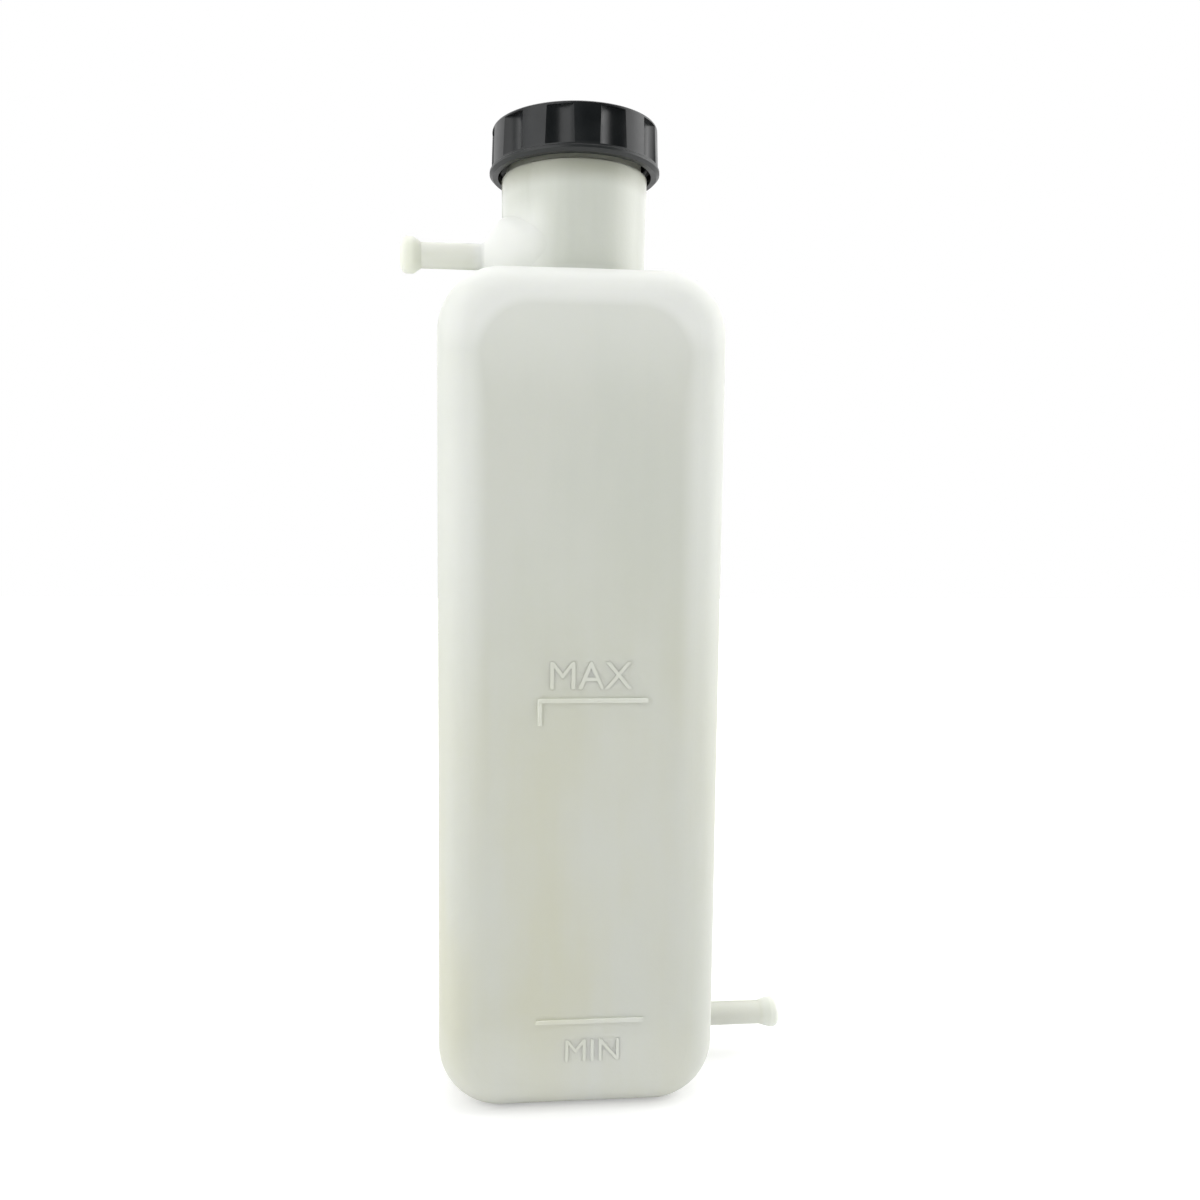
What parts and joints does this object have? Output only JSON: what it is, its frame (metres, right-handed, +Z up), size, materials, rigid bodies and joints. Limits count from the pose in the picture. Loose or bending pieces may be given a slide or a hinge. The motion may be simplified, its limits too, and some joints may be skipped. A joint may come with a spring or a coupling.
{
  "type": "coolant expansion tank",
  "caption": "Tall blown plastic coolant bottle with a wide filler neck, a fluted screw cap, a hose nipple at the shoulder and another near the foot.",
  "frame": {"origin": "middle of the foot, under the axis of the filler neck", "axes": "+Z up along the neck, -Y towards the front face with the level marks, -X towards the upper hose nipple"},
  "size_m": [0.1363, 0.0766, 0.3248],
  "materials": {
    "natural_plastic": "satin, milky and slightly translucent",
    "black_plastic": "satin",
    "seal_rubber": "matte"
  },
  "bodies": {
    "bottle": {"tank": "natural_plastic"},
    "seal": {"sealing_ring": "seal_rubber"},
    "cap": {"screw_cap": "black_plastic"}
  },
  "joints": [
    {"name": "cap_lift", "type": "slide", "parent": "bottle", "child": "seal", "axis": [0, 0, 1], "range_m": [0, 0.015]},
    {"name": "cap_turn", "type": "hinge", "parent": "seal", "child": "cap", "pos_m": [0, 0, 0.317], "axis": [0, 0, 1], "range_deg": [0, 1080]}
  ],
  "couplings": [
    {"joint": "cap_lift", "follows": "cap_turn", "m_per_rad": 0.0007957}
  ]
}
